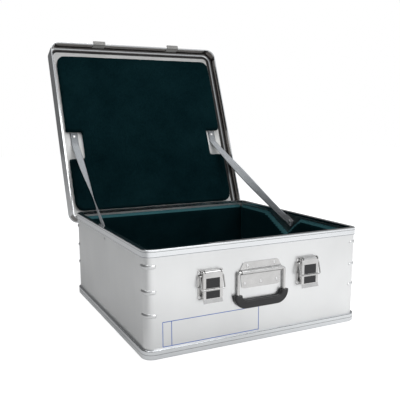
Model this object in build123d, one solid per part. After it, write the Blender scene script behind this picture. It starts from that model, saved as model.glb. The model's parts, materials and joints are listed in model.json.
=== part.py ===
from build123d import *
import os
from math import cos, hypot, radians, sin, sqrt, tan

# Battery transport case in sheet aluminium with a hinged lid, in millimetres.
# The origin is the middle of the underside, +Z is up and the front faces -Y.
# The case stands with its lid open, held back by two webbing straps.

# Overall size of the case body, over its wall sheets
case_width = 600.0
case_depth = 594.0
case_height = 256.0
corner_radius = 22.0
sheet = 1.5

# Bottom frame, an angle section that the case stands on
base_height = 22.8
base_proud = 5.4
base_flange = 2.0
base_reach = 14.0
base_round = 4.0
floor_field = 1.2

# Pressed beads in the floor
bead_count = 5
bead_width = 14.0
bead_margin = 70.0

# Rim frame, a channel section over the top of the walls
rim_height = 18.5
rim_proud = 2.5
rim_lip = 2.5
rim_reach = 10.0
rim_leg = 6.0
rim_leg_sheet = 1.5
rim_round = 1.4

# Crimped beads round each upright corner
rib_high_drop = 39.0
rib_middle_drop = 98.0
rib_low_drop = 153.0
rib_width = 10.0
rib_proud = 2.5

# Foam lining in the case
liner_thickness = 12.0
liner_floor_thickness = 12.0
liner_gap = 0.3
liner_drop = 11.5
liner_bevel_height = 12.0
liner_bevel_depth = 10.0
notch_before = 58.0
notch_behind = 116.0
notch_shift = 10.0
notch_depth = 54.5
notch_bevel = 14.0

# Lid shell
lid_overlap = 42.0
lid_rise = 22.0
lid_gap = 2.5
lid_wall = 2.5
lid_bead = 3.5
lid_bead_height = 8.0
lid_round = 9.0
lid_flange_reach = 16.0
lid_flange = 2.5
field_rise = 2.0
field_margin = 46.0
field_taper = 45.0

# Seal and inner sheet of the lid
seal_gap = 0.3
seal_width = 7.0
seal_height = 2.2
channel_wall = 1.5
channel_lip = 1.4
inner_sheet = 1.2

# Foam pad in the lid
pad_side_gap = 14.0
pad_front_gap = 27.0
pad_back_gap = 25.0
pad_thickness = 19.8
pad_radius = 28.0
pad_round = 4.0
pad_notch_reach = 54.0
pad_notch_before = 14.0
pad_notch_behind = 81.0

# Lid hinges
hinge_back = 16.0
hinge_drop = 35.0
hinge_side_gap = 115.0
hinge_width = 90.0
hinge_leaf = 2.0
knuckle_radius = 5.0
knuckle_gap = 0.4
hinge_pin_radius = 2.5
hinge_head_radius = 4.0
hinge_head = 1.5
case_leaf_height = 60.0
lid_leaf_height = 34.0
lid_leaf_lift = 7.0
hinge_rivet_inset = 11.0
open_angle = 111.2

# Draw latches on the front wall
latch_side_gap = 162.0
latch_base_width = 66.0
latch_base_rise = 5.0
latch_base_height = 69.0
latch_plate = 2.0
latch_rivet_inset = 6.0
latch_pin_drop = 24.0
latch_pin_out = 8.6
latch_pin_radius = 2.0
latch_pin_head_radius = 3.2
latch_pin_head = 1.4
ear_inset = 1.4
ear_sheet = 2.0
ear_radius = 3.8
ear_root_drop = 28.0
ear_root_sink = 0.5
lever_width = 50.0
lever_length = 71.0
lever_sheet = 1.8
lever_roll_radius = 6.0
lever_tip = 9.0
lever_tip_out = 2.9
lever_throw = 135.0
flange_gap = 1.6
flange_low_drop = 42.0
flange_high_drop = 8.0
flange_root = 4.4
inlay_width = 36.0
high_inlay_drop = 12.0
high_inlay_height = 24.0
low_inlay_drop = 42.5
low_inlay_height = 18.0
inlay_depth = 0.5
inlay_proud = 0.2
bail_wire_radius = 1.75
bail_pivot_drop = 7.0
bail_pivot_out = 7.5
bail_width = 61.0
bail_bend = 4.0
bail_stub_gap = 0.6

# Catches on the lid
catch_width = 42.0
catch_height = 22.0
catch_sheet = 1.5
catch_inner_sheet = 1.0
catch_web = 2.2
catch_horn = 5.0
catch_horn_sheet = 1.7
catch_groove = 4.8

# Drop handle on the front wall
handle_pivot_drop = 36.0
handle_rod_radius = 3.5
handle_rod_out = 5.5
handle_pivot_x = 65.0
handle_low_x = 66.0
handle_drop = 79.5
handle_top_bend = 6.0
handle_low_bend = 22.0
handle_end_x = 24.0
grip_height = 21.0
grip_depth = 12.0
grip_back_gap = 0.8
grip_rise = 23.5
bracket_sheet = 2.0
bracket_rise = 23.0
bracket_fall = 41.0
bracket_width = 114.0
bracket_top_width = 98.0
channel_sheet = 2.0
channel_root = 3.0
bracket_corner = 6.0
bracket_high_rivet_x = 38.0
bracket_high_rivet_rise = 14.5
bracket_low_rivet_x = 46.0
bracket_low_rivet_fall = 29.0

# Rivets
rivet_shank = 2.0
rivet_head = 4.2
rivet_head_height = 1.5
rivet_head_share = 0.6
big_rivet_shank = 2.4
big_rivet_head = 5.5
big_rivet_head_height = 2.0

# Lid straps
strap_width = 25.0
strap_thickness = 1.8
strap_case_y = 0.0
strap_case_drop = 31.0
strap_lid_inset = 41.0
strap_lid_y = 15.0
strap_tail = 12.0
strap_fold = 33.0
strap_bend = 26.0
strap_step = 3.0
strap_steps = 8

# Clearances
press_gap = 0.05
run_gap = 0.05
soft_gap = 0.3
move_gap = 0.5

# Sizes worked out from those above
half_width = case_width / 2
half_depth = case_depth / 2
front = -half_depth
floor_top = base_flange + sheet
liner_floor_top = floor_top + liner_floor_thickness
liner_top = case_height - liner_drop
liner_outer = -sheet - liner_gap
liner_inner = liner_outer - liner_thickness
notch_near = strap_case_y - notch_before
notch_far = strap_case_y + notch_behind
notch_middle = strap_case_y + notch_shift
notch_low = liner_top - notch_depth
rib_heights = [case_height - drop for drop in (rib_high_drop, rib_middle_drop, rib_low_drop)]
skirt_inner = rim_proud + lid_gap
skirt_outer = skirt_inner + lid_bead
skirt_low = case_height - lid_overlap
lid_top = case_height + lid_rise
seal_low = case_height + seal_gap
channel_top = seal_low + seal_height
sheet_low = channel_top - inner_sheet
pad_low = sheet_low - pad_thickness
seal_outer = 0.5
seal_inner = seal_outer - seal_width
hinge_y = half_depth + hinge_back
hinge_z = case_height - hinge_drop
skirt_front = front - skirt_outer
skirt_back = half_depth + skirt_outer
latch_pin_y = front - latch_pin_out
latch_pin_height = skirt_low - latch_pin_drop
latch_base_top = latch_pin_height + latch_base_rise
high_inlay_top = latch_pin_height - high_inlay_drop
low_inlay_top = latch_pin_height - low_inlay_drop
inlay_bands = [(high_inlay_top - high_inlay_height, high_inlay_top)]
inlay_bands += [(low_inlay_top - low_inlay_height, low_inlay_top)]
bail_pivot_height = latch_pin_height - bail_pivot_drop
bail_pivot_y = front - bail_pivot_out
handle_rod_y = front - handle_rod_out
handle_pivot_height = skirt_low - handle_pivot_drop
bracket_top = handle_pivot_height + bracket_rise
bracket_bottom = handle_pivot_height - bracket_fall
strap_case_z = case_height - strap_case_drop
strap_lid_x = half_width - strap_lid_inset
pad_notch_front = strap_lid_y - pad_notch_before
pad_notch_back = strap_lid_y + pad_notch_behind
strap_lid_z = sheet_low

lid_place = Pos(0, hinge_y, hinge_z) * Rot(X=-open_angle) * Pos(0, -hinge_y, -hinge_z)


def plate(offset, low, high):
    """Solid with the outline of the case walls, moved out by offset."""
    radius = max(corner_radius + offset, 2.0)
    outline = RectangleRounded(case_width + 2 * offset, case_depth + 2 * offset, radius)
    return Pos(0, 0, low) * extrude(outline, amount=high - low)


def ring(outer, inner, low, high):
    """Band that follows the case walls between two offsets."""
    return plate(outer, low, high) - plate(inner, low, high)


def block(x0, x1, y0, y1, z0, z1):
    """Box between two corners."""
    middle = Pos((x0 + x1) / 2, (y0 + y1) / 2, (z0 + z1) / 2)
    return middle * Box(x1 - x0, y1 - y0, z1 - z0)


def side_profile(points, x0, x1):
    """Outline of (y, z) points, stretched along X."""
    face = Plane.YZ * make_face(Polyline(*points, close=True))
    return Pos(x0, 0, 0) * extrude(face, amount=x1 - x0, dir=(1, 0, 0))


def bar(radius, x0, x1, y, z):
    """Round bar along X."""
    return Pos((x0 + x1) / 2, y, z) * Rot(Y=90) * Cylinder(radius, x1 - x0)


def rivet(place, reach, shank=rivet_shank, head=rivet_head, rise=rivet_head_height):
    """Rivet with a coned head. The head stands on local +Z, the shank runs down -Z."""
    cone = Pos(0, 0, rise / 2) * Cone(head, head * rivet_head_share, rise)
    return place * (cone + Pos(0, 0, -reach / 2) * Cylinder(shank, reach))


def rivet_hole(place, shank=rivet_shank, reach=20.0):
    """Cutter for a rivet's hole."""
    return place * Cylinder(shank + press_gap, reach)


# Places of rivets, each with local +Z pointing out of the head's face
def on_front(x, y, z):
    return Pos(x, y, z) * Rot(X=90)


def on_back(x, y, z):
    return Pos(x, y, z) * Rot(X=-90)


def bracket_rivet_places():
    y = front - bracket_sheet
    high_z = handle_pivot_height + bracket_high_rivet_rise
    low_z = handle_pivot_height - bracket_low_rivet_fall
    high = [on_front(side * bracket_high_rivet_x, y, high_z) for side in (-1, 1)]
    low = [on_front(side * bracket_low_rivet_x, y, low_z) for side in (-1, 0, 1)]
    return high + low


def latch_rivet_places(x):
    inset = (latch_base_width - lever_width) / 4
    side = latch_base_width / 2 - inset
    low = latch_base_top - latch_base_height
    heights = (latch_base_top - latch_rivet_inset, low + latch_rivet_inset)
    return [on_front(x + s * side, front - latch_plate, z) for s in (-1, 1) for z in heights]


def hinge_rivet_places(x, y, z_mid, height):
    side = hinge_width / 2 - hinge_rivet_inset
    rise = height / 2 - hinge_rivet_inset
    return [on_back(x + s * side, y, z_mid + t * rise) for s in (-1, 1) for t in (-1, 1)]


def case_leaf_rivets(x):
    low = hinge_z - knuckle_radius - hinge_leaf * 3 - case_leaf_height
    return hinge_rivet_places(x, half_depth + hinge_leaf, low + case_leaf_height / 2, case_leaf_height)


def lid_leaf_rivets(x):
    middle = hinge_z + lid_leaf_lift + lid_leaf_height / 2
    return hinge_rivet_places(x, skirt_back + hinge_leaf, middle, lid_leaf_height)


def strap_case_place(side):
    return Pos(side * half_width, strap_case_y, strap_case_z) * Rot(Y=90 * side)


def strap_lid_place(side):
    under = strap_lid_z - soft_gap - 2 * strap_thickness
    return Pos(side * strap_lid_x, strap_lid_y, under) * Rot(X=180)


def catch_rivet_places(x):
    z = skirt_low + catch_height * 0.62
    return [on_front(x + s * catch_width / 4, skirt_front - catch_sheet, z) for s in (-1, 1)]


latch_xs = {"left": latch_side_gap - half_width, "right": half_width - latch_side_gap}
hinge_xs = {"left": hinge_side_gap - half_width, "right": half_width - hinge_side_gap}
sides = {"left": -1, "right": 1}


# Case body
def corner_rib(height):
    """Bead round one upright corner, with rounded ends."""
    section_radius = (rib_width**2 / 4 + rib_proud**2) / (2 * rib_proud)
    turn = corner_radius + rib_proud - section_radius
    centre = Pos(half_width - corner_radius, half_depth - corner_radius, height)
    circle = Plane.XZ * Pos(turn, 0) * Circle(section_radius)
    bead = revolve(circle, Axis.Z, revolution_arc=90)
    for end in ((turn, 0), (0, turn)):
        bead += Pos(end[0], end[1], 0) * Sphere(section_radius)
    return centre * bead


def make_case_shell():
    body = plate(0, base_flange, case_height - rim_lip)
    for height in rib_heights:
        rib = corner_rib(height)
        for pair in (rib, mirror(rib, Plane.YZ)):
            body += pair
            body += mirror(pair, Plane.XZ)
    body -= plate(-sheet, base_flange - 1, case_height)
    places = bracket_rivet_places()
    for x in latch_xs.values():
        places += latch_rivet_places(x)
    for x in hinge_xs.values():
        places += case_leaf_rivets(x)
    for place in places:
        body -= rivet_hole(place)
    for side in sides.values():
        body -= rivet_hole(strap_case_place(side), big_rivet_shank)
    return body


def make_case_floor():
    inner = -base_reach - soft_gap
    panel = plate(-sheet, base_flange, floor_top)
    panel += plate(inner, 0, base_flange)
    length = case_depth - 2 * bead_margin
    pitch = (case_width - 2 * bead_margin) / (bead_count - 1)
    for number in range(bead_count):
        x = -half_width + bead_margin + number * pitch
        groove = Plane.XY.offset(-1) * Pos(x, 0) * SlotOverall(length, bead_width, rotation=90)
        panel -= extrude(groove, amount=1 + floor_field)
    return panel


def make_bottom_frame():
    frame = plate(base_proud, 0, base_height)
    frame = fillet(frame.faces().sort_by(Axis.Z)[0].outer_wire().edges(), base_round)
    frame = fillet(frame.faces().sort_by(Axis.Z)[-1].outer_wire().edges(), base_round / 2)
    frame -= plate(0, base_flange, base_height + 1)
    return frame - plate(-base_reach, -1, base_flange + 1)


def make_rim_frame():
    low = case_height - rim_height
    frame = plate(rim_proud, low, case_height)
    frame = fillet(frame.faces().sort_by(Axis.Z)[-1].outer_wire().edges(), rim_round)
    frame -= plate(-rim_reach, low - 1, case_height + 1)
    frame -= ring(0, -rim_reach - 1, low - 1, case_height - rim_lip)
    leg_top = case_height - rim_lip
    return frame + ring(-sheet - press_gap, -sheet - rim_leg_sheet, leg_top - rim_leg, leg_top)


# Foam lining of the case
def notch_points(drop):
    """Outline of the strap's notch in the side lining."""
    high = case_height + notch_bevel
    slope_near = (notch_near - notch_middle) / (liner_top - notch_low)
    slope_far = (notch_far - notch_middle) / (liner_top - notch_low)
    rise = high - notch_low + drop
    return [
        (notch_middle, notch_low - drop),
        (notch_middle + slope_far * rise, high),
        (notch_middle + slope_near * rise, high),
    ]


def notch_cutter():
    """Notch for the strap, wider at the lining's face."""
    wall_x = half_width + liner_outer
    bevel_x = wall_x - (liner_thickness - liner_bevel_depth)
    face_x = half_width + liner_inner
    straight = side_profile(notch_points(0), bevel_x, wall_x + 1)
    outer = Plane.YZ.offset(bevel_x) * make_face(Polyline(*notch_points(0), close=True))
    inner = Plane.YZ.offset(face_x - 1) * make_face(Polyline(*notch_points(notch_bevel), close=True))
    return straight + loft([inner, outer])


def make_liners():
    side = half_width + liner_inner
    end = half_depth + liner_inner
    low = liner_top - liner_bevel_height
    reach = liner_bevel_depth
    band = plate(liner_outer, liner_floor_top, liner_top)
    band -= block(-side, side, -end, end, liner_floor_top, liner_top)
    base = Pos(0, 0, low) * Rectangle(2 * side, 2 * end)
    crown = Pos(0, 0, liner_top) * Rectangle(2 * (side + reach), 2 * (end + reach))
    band -= loft([base, crown])
    wide = case_width
    tall = case_height
    liners = {
        "liner_front": band & block(-wide, wide, -half_depth, -end, 0, tall),
        "liner_back": band & block(-wide, wide, end, half_depth, 0, tall),
    }
    right = band & block(0, wide, -end, end, 0, tall)
    right -= notch_cutter()
    liners["liner_right"] = right
    liners["liner_left"] = mirror(right, Plane.YZ)
    liners["liner_floor"] = plate(liner_outer, floor_top, liner_floor_top)
    return liners


# Handle
def handle_path(end_x, rise):
    """Middle line of the handle's rod, from one end round to the other."""
    y = handle_rod_y
    low = handle_pivot_height - handle_drop
    points = [(-end_x, y, handle_pivot_height), (-handle_pivot_x, y, handle_pivot_height)]
    points += [(-handle_low_x, y, low), (handle_low_x, y, low)]
    points += [(handle_pivot_x, y, handle_pivot_height), (end_x, y, handle_pivot_height)]
    bends = [handle_top_bend, handle_low_bend, handle_low_bend, handle_top_bend]
    if rise:
        points = points[1:-1]
        bends = bends[1:-1]
        share = rise / handle_drop
        x = handle_low_x + (handle_pivot_x - handle_low_x) * share
        points[0] = (-x, y, low + rise)
        points[-1] = (x, y, low + rise)
    return FilletPolyline(*points, radius=bends)


def make_handle_bail():
    path = handle_path(handle_end_x, 0)
    section = Plane(origin=path @ 0, z_dir=path % 0) * Circle(handle_rod_radius)
    return sweep(section, path=path)


def make_handle_grip():
    path = handle_path(handle_end_x, grip_rise)
    start = Plane(origin=path @ 0, x_dir=(1, 0, 0), z_dir=path % 0)
    middle_y = front - grip_back_gap - grip_depth / 2
    outer = start * Pos(0, handle_rod_y - middle_y) * RectangleRounded(grip_height, grip_depth, grip_depth / 2.4)
    bore = start * Circle(handle_rod_radius + press_gap)
    grip = sweep(outer, path=path)
    return grip - sweep(bore, path=path)


def make_handle_bracket():
    bore = handle_rod_radius + soft_gap
    outer = bore + channel_sheet
    half = bracket_width / 2
    z = handle_pivot_height
    y = handle_rod_y
    body = block(-half, half, front - bracket_sheet, front, bracket_bottom, bracket_top)
    body += block(-half, half, y, front, z - outer, z + outer) + bar(outer, -half, half, y, z)
    root_y = front - bracket_sheet
    root = [e for e in body.edges() if abs(e.length - bracket_width) < 0.01]
    root = [e for e in root if abs(e.center().Y - root_y) < 0.01 and abs(abs(e.center().Z - z) - outer) < 0.01]
    body = fillet(root, channel_root)
    body -= block(-half, half, y, front + 1, z - bore, z + bore) + bar(bore, -half, half, y, z)
    high = bracket_top_width / 2
    outline = Polyline(
        (-high, bracket_top), (high, bracket_top), (half, z + outer + channel_root),
        (half, z - outer - channel_root), (high + 4, bracket_bottom), (-high - 4, bracket_bottom),
        (-half, z - outer - channel_root), (-half, z + outer + channel_root), close=True,
    )
    face = make_face(outline)
    corners = [v for v in face.vertices() if abs(v.Y - bracket_top) < 1 or abs(v.Y - bracket_bottom) < 1]
    face = fillet(corners, bracket_corner)
    body &= Pos(0, front, 0) * extrude(Plane.XZ * face, amount=40)
    for place in bracket_rivet_places():
        body -= rivet_hole(place)
    return body


# Latches
def make_latch_base(x):
    z = latch_pin_height
    y = latch_pin_y
    plate_y = front - latch_plate
    half = latch_base_width / 2
    low = latch_base_top - latch_base_height
    body = block(-half, half, plate_y, front, low, latch_base_top)
    body = fillet(body.edges().filter_by(Axis.Y), 3)
    outer = lever_width / 2 - lever_sheet - ear_inset
    root_y = plate_y + ear_root_sink
    lean = radians(lever_throw - 90)
    shoulder_y = y + ear_radius * sin(lean)
    shoulder_z = z + ear_radius * cos(lean)
    root_z = shoulder_z - (root_y - shoulder_y) * tan(lean)
    neck = [
        (root_y, z - ear_root_drop), (y - ear_radius * 0.92, z - ear_radius * 0.4),
        (shoulder_y, shoulder_z), (root_y, root_z),
    ]
    for side in (-1, 1):
        x0, x1 = sorted((side * outer, side * (outer - ear_sheet)))
        body += side_profile(neck, x0, x1) + bar(ear_radius, x0, x1, y, z)
    body -= bar(latch_pin_radius + press_gap, -outer - 1, outer + 1, y, z)
    body = Pos(x, 0, 0) * body
    for place in latch_rivet_places(x):
        body -= rivet_hole(place)
    return body


def make_latch_pin(x):
    half = lever_width / 2 + soft_gap
    y, z = latch_pin_y, latch_pin_height
    pin = bar(latch_pin_radius, -half, half, y, z)
    for side in (-1, 1):
        x0, x1 = sorted((side * half, side * (half + latch_pin_head)))
        pin += bar(latch_pin_head_radius, x0, x1, y, z)
    return Pos(x, 0, 0) * pin


def make_latch_lever(x):
    y, z = latch_pin_y, latch_pin_height
    half = lever_width / 2
    face_y = y - lever_roll_radius
    back_y = face_y + lever_sheet
    low = z - lever_length
    tip = low + lever_tip
    face = [
        (face_y, z), (face_y, tip), (face_y - lever_tip_out, low),
        (back_y - lever_tip_out, low - 0.6), (back_y, tip - 0.6), (back_y, z),
    ]
    body = side_profile(face, -half, half)
    roll = half - lever_sheet - ear_inset - ear_sheet - move_gap
    body += bar(lever_roll_radius, -roll, roll, y, z)
    flange_y = front - latch_plate - flange_gap
    flange = [
        (face_y + 0.2, z), (face_y + 0.2, tip), (back_y + 1.2, tip),
        (flange_y, z - flange_low_drop), (flange_y, z - flange_high_drop), (y + flange_root, z),
    ]
    for side in (-1, 1):
        x0, x1 = sorted((side * half, side * (half - lever_sheet)))
        body += side_profile(flange, x0, x1) + bar(lever_roll_radius, x0, x1, y, z)
    body -= bar(lever_roll_radius - lever_sheet, -roll - 0.1, roll + 0.1, y, z)
    body -= bar(latch_pin_radius + run_gap, -half - 1, half + 1, y, z)
    body -= bar(bail_wire_radius + run_gap, -half - 1, half + 1, bail_pivot_y, bail_pivot_height)
    for low_z, high_z in inlay_bands:
        side = inlay_width / 2
        body -= block(-side, side, face_y - 1, face_y + inlay_depth, low_z, high_z)
    return Pos(x, 0, 0) * body


def make_latch_inlays(x):
    face_y = latch_pin_y - lever_roll_radius
    side = inlay_width / 2 - press_gap
    bands = [
        block(-side, side, face_y - inlay_proud, face_y + inlay_depth, low + press_gap, high - press_gap)
        for low, high in inlay_bands
    ]
    return Pos(x, 0, 0) * (bands[0] + bands[1])


def bail_bar_place():
    """Where the bail's cross bar lies while it hangs over the lever."""
    groove_y = skirt_front - catch_sheet - catch_groove / 2
    groove_z = skirt_low + bail_wire_radius
    reach = hypot(groove_y - bail_pivot_y, groove_z - bail_pivot_height)
    bar_y = latch_pin_y - lever_roll_radius - soft_gap - bail_wire_radius
    drop = sqrt(reach**2 - (bar_y - bail_pivot_y) ** 2)
    return bar_y, bail_pivot_height - drop


def make_latch_bail(x):
    half = bail_width / 2
    stub = lever_width / 2 - lever_sheet - bail_stub_gap
    bar_y, bar_z = bail_bar_place()
    y, z = bail_pivot_y, bail_pivot_height
    points = [(-stub, y, z), (-half, y, z), (-half, bar_y, bar_z)]
    points += [(half, bar_y, bar_z), (half, y, z), (stub, y, z)]
    path = FilletPolyline(*points, radius=bail_bend)
    section = Plane(origin=path @ 0, z_dir=path % 0) * Circle(bail_wire_radius)
    return Pos(x, 0, 0) * sweep(section, path=path)


# Lid, modelled closed and then swung open about the hinges
def make_lid_frame():
    frame = plate(skirt_outer, skirt_low, lid_top)
    frame = fillet(frame.faces().sort_by(Axis.Z)[-1].outer_wire().edges(), lid_round)
    frame = fillet(frame.faces().sort_by(Axis.Z)[0].outer_wire().edges(), lid_bead / 3)
    wall_inner = skirt_outer - lid_wall
    hollow = plate(skirt_inner, skirt_low - 1, skirt_low + lid_bead_height + 0.01)
    hollow += plate(wall_inner, skirt_low + lid_bead_height, channel_top)
    web_top = channel_top + channel_wall
    upper = plate(wall_inner, web_top, lid_top - lid_flange)
    upper_edge = upper.faces().sort_by(Axis.Z)[-1].outer_wire().edges()
    hollow += fillet(upper_edge, lid_round - lid_wall)
    frame -= hollow
    frame -= plate(-lid_flange_reach, web_top - 5, lid_top + 1)
    frame -= plate(seal_inner - channel_wall - 5, channel_top - 1, web_top + 1)
    for outer, inner in ((seal_outer + channel_wall, seal_outer), (seal_inner, seal_inner - channel_wall)):
        frame += ring(outer, inner, channel_top - channel_lip, channel_top)
    for x in hinge_xs.values():
        for place in lid_leaf_rivets(x):
            frame -= rivet_hole(place, reach=12.0)
    for x in latch_xs.values():
        for place in catch_rivet_places(x):
            frame -= rivet_hole(place, reach=12.0)
    return frame


def make_lid_panel():
    under = lid_top - lid_flange
    panel = plate(skirt_outer - lid_wall - lid_round, under - sheet, under)
    rise = lid_flange + field_rise
    outline = RectangleRounded(case_width - 2 * field_margin, case_depth - 2 * field_margin, corner_radius)
    bulge = Pos(0, 0, under) * extrude(outline, amount=rise, taper=field_taper)
    hollow = Pos(0, 0, under - sheet) * extrude(outline, amount=rise, taper=field_taper)
    return panel + bulge - hollow


def make_lid_gasket():
    return ring(seal_outer - press_gap, seal_inner + press_gap, seal_low, channel_top)


def make_inner_sheet():
    board = plate(seal_inner - channel_wall - soft_gap, sheet_low, channel_top)
    for side in sides.values():
        board -= rivet_hole(strap_lid_place(side), big_rivet_shank)
    return board


def make_lid_pad():
    width = case_width - 2 * pad_side_gap
    depth = case_depth - pad_front_gap - pad_back_gap
    middle_y = (pad_front_gap - pad_back_gap) / 2
    outline = Pos(0, middle_y) * RectangleRounded(width, depth, pad_radius)
    pad = Pos(0, 0, pad_low) * extrude(outline, amount=pad_thickness)
    pad = fillet(pad.faces().sort_by(Axis.Z)[0].outer_wire().edges(), pad_round)
    inner = width / 2 - pad_notch_reach
    for side in sides.values():
        x0, x1 = sorted((side * inner, side * width))
        pad -= block(x0, x1, pad_notch_front, pad_notch_back, pad_low - 1, sheet_low + 1)
    return pad


def make_catch(x):
    half = catch_width / 2
    plate_y = skirt_front - catch_sheet
    horn_y = plate_y - catch_groove
    inner_y = front - skirt_inner
    low = skirt_low - soft_gap - catch_web
    top = skirt_low + catch_height
    profile = [
        (skirt_front, top), (skirt_front, skirt_low - soft_gap), (inner_y, skirt_low - soft_gap),
        (inner_y, top), (inner_y + catch_inner_sheet, top), (inner_y + catch_inner_sheet, low),
        (horn_y - catch_horn_sheet, low), (horn_y - catch_horn_sheet, skirt_low + catch_horn),
        (horn_y, skirt_low + catch_horn - 0.8), (horn_y, skirt_low - soft_gap),
        (plate_y, skirt_low - soft_gap), (plate_y, top),
    ]
    body = Pos(x, 0, 0) * side_profile(profile, -half, half)
    for place in catch_rivet_places(x):
        body -= rivet_hole(place, reach=8.0)
    return body


# Hinges
def knuckle_spans():
    """Lengths along X of the case leaf's two knuckles and the lid leaf's one."""
    half = hinge_width / 2
    third = hinge_width / 6
    case_spans = [(-half, -third - knuckle_gap), (third + knuckle_gap, half)]
    return case_spans, (-third, third)


def make_case_leaf(x):
    case_spans, _ = knuckle_spans()
    half = hinge_width / 2
    shelf_top = hinge_z - knuckle_radius - 2 * hinge_leaf
    shelf_low = shelf_top - hinge_leaf
    plate_low = shelf_low - case_leaf_height
    outer = half_depth + hinge_leaf
    body = block(-half, half, half_depth, outer, plate_low, shelf_top)
    for x0, x1 in case_spans:
        body += block(x0, x1, half_depth, hinge_y + 1, shelf_low, shelf_top)
        body += block(x0, x1, hinge_y - 1, hinge_y + 1, shelf_low, hinge_z)
        body += bar(knuckle_radius, x0, x1, hinge_y, hinge_z)
    body -= bar(hinge_pin_radius + press_gap, -half - 1, half + 1, hinge_y, hinge_z)
    body = Pos(x, 0, 0) * body
    for place in case_leaf_rivets(x):
        body -= rivet_hole(place)
    return body


def make_lid_leaf(x):
    _, (x0, x1) = knuckle_spans()
    half = hinge_width / 2
    low = hinge_z + lid_leaf_lift
    body = block(-half, half, skirt_back, skirt_back + hinge_leaf, low, low + lid_leaf_height)
    body += block(x0, x1, skirt_back, skirt_back + hinge_leaf, hinge_z - 2, low + 1)
    body += block(x0, x1, skirt_back, hinge_y - 3, hinge_z - 2, hinge_z + 3)
    body += bar(knuckle_radius, x0, x1, hinge_y, hinge_z)
    body -= bar(hinge_pin_radius + run_gap, x0 - 1, x1 + 1, hinge_y, hinge_z)
    body = Pos(x, 0, 0) * body
    for place in lid_leaf_rivets(x):
        body -= rivet_hole(place, reach=12.0)
    return body


def make_hinge_pin(x):
    half = hinge_width / 2 + press_gap
    pin = bar(hinge_pin_radius, -half, half, hinge_y, hinge_z)
    for side in (-1, 1):
        x0, x1 = sorted((side * half, side * (half + hinge_head)))
        pin += bar(hinge_head_radius, x0, x1, hinge_y, hinge_z)
    return Pos(x, 0, 0) * pin


# Straps
def lid_point(x, y, z):
    """A point of the closed lid, where it lies with the lid open."""
    return (lid_place * Pos(x, y, z)).position


def strap_sections():
    """Sections along the right strap, as (middle, width direction, run direction, thickness)."""
    double = 2 * strap_thickness
    wall_x = half_width - sheet - soft_gap - strap_thickness
    lip_x = half_width - rim_reach - soft_gap - strap_thickness / 2
    lid_single_z = strap_lid_z - soft_gap - strap_thickness / 2
    lid_double_z = strap_lid_z - soft_gap - strap_thickness
    lid_bend = lid_point(strap_lid_x, strap_lid_y + strap_bend, lid_double_z)
    lid_anchor = lid_point(strap_lid_x, strap_lid_y, lid_double_z)
    down_lid = (lid_bend - lid_anchor).normalized()
    anchor = Vector(wall_x, strap_case_y, strap_case_z)
    run = Vector(0, lid_bend.Y - anchor.Y, lid_bend.Z - anchor.Z).normalized()
    wall_wide = Vector(0, -run.Z, run.Y)
    fold_end = anchor + run * strap_fold
    fold_end = Vector(lip_x - strap_thickness / 2, fold_end.Y, fold_end.Z)
    lip = anchor + run * (strap_fold + strap_step)
    lip = Vector(lip_x, lip.Y, lip.Z)
    free = (lid_bend - lip).normalized()
    lean = (fold_end - (anchor + run * strap_fold * 0.25)).normalized()
    sections = [
        (anchor - run * strap_tail, wall_wide, run, double),
        (anchor + run * strap_fold * 0.25, wall_wide, run, double),
        (fold_end - lean * 8, wall_wide, lean, double),
        (fold_end, wall_wide, free, double),
        (lip, wall_wide, free, strap_thickness),
    ]
    lid_wide = Vector(1, 0, 0)
    for number in range(1, strap_steps):
        share = number / strap_steps
        blend = share * share * (3 - 2 * share)
        turn = radians(90 * blend)
        wide = wall_wide * cos(turn) + lid_wide * sin(turn)
        middle = lip + (lid_bend - lip) * share
        sections.append((middle, wide, free, strap_thickness))
    bend_run = (free - down_lid).normalized()
    sections += [
        (lid_bend - free * 6, lid_wide, free, strap_thickness),
        (lid_point(strap_lid_x, strap_lid_y + strap_bend - 6, lid_single_z - 0.9), lid_wide, bend_run, strap_thickness),
        (lid_point(strap_lid_x, strap_lid_y + strap_bend - 10, lid_double_z), lid_wide, -down_lid, double),
        (lid_point(strap_lid_x, strap_lid_y - strap_tail, lid_double_z), lid_wide, -down_lid, double),
    ]
    return sections


def make_strap_right():
    faces = []
    for middle, wide, run, thick in strap_sections():
        spot = Plane(origin=middle, x_dir=wide - run * wide.dot(run), z_dir=run)
        faces.append(spot * Rectangle(strap_width, thick))
    strap = loft(faces, ruled=True)
    strap -= rivet_hole(strap_case_place(1), big_rivet_shank + soft_gap)
    return strap - lid_place * rivet_hole(strap_lid_place(1), big_rivet_shank)


def make_strap_case_rivet(side):
    """Rivet through the wall, with a head outside and another on the strap."""
    reach = sheet + soft_gap + 2 * strap_thickness + soft_gap
    place = strap_case_place(side)
    outside = rivet(place, reach, big_rivet_shank, big_rivet_head, big_rivet_head_height)
    inside = place * Pos(0, 0, -reach) * Rot(X=180)
    return outside + rivet(inside, 0.5, big_rivet_shank, big_rivet_head, big_rivet_head_height)


def make_strap_lid_rivet(side):
    place = strap_lid_place(side)
    reach = 2 * strap_thickness + soft_gap + inner_sheet
    return lid_place * rivet(place, reach, big_rivet_shank, big_rivet_head, big_rivet_head_height)


def rivets(places, reach):
    group = [rivet(place, reach) for place in places]
    return Compound(children=[item.solids()[0] for item in group])


parts = {
    "case_shell": make_case_shell(),
    "case_floor": make_case_floor(),
    "case_bottom_frame": make_bottom_frame(),
    "case_rim_frame": make_rim_frame(),
    "handle_bracket": make_handle_bracket(),
    "handle_rivets": rivets(bracket_rivet_places(), bracket_sheet + sheet),
    "handle_bail": make_handle_bail(),
    "handle_grip": make_handle_grip(),
    "lid_frame": lid_place * make_lid_frame(),
    "lid_panel": lid_place * make_lid_panel(),
    "lid_gasket": lid_place * make_lid_gasket(),
    "lid_inner_sheet": lid_place * make_inner_sheet(),
    "lid_pad": lid_place * make_lid_pad(),
}
parts.update(make_liners())

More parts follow.
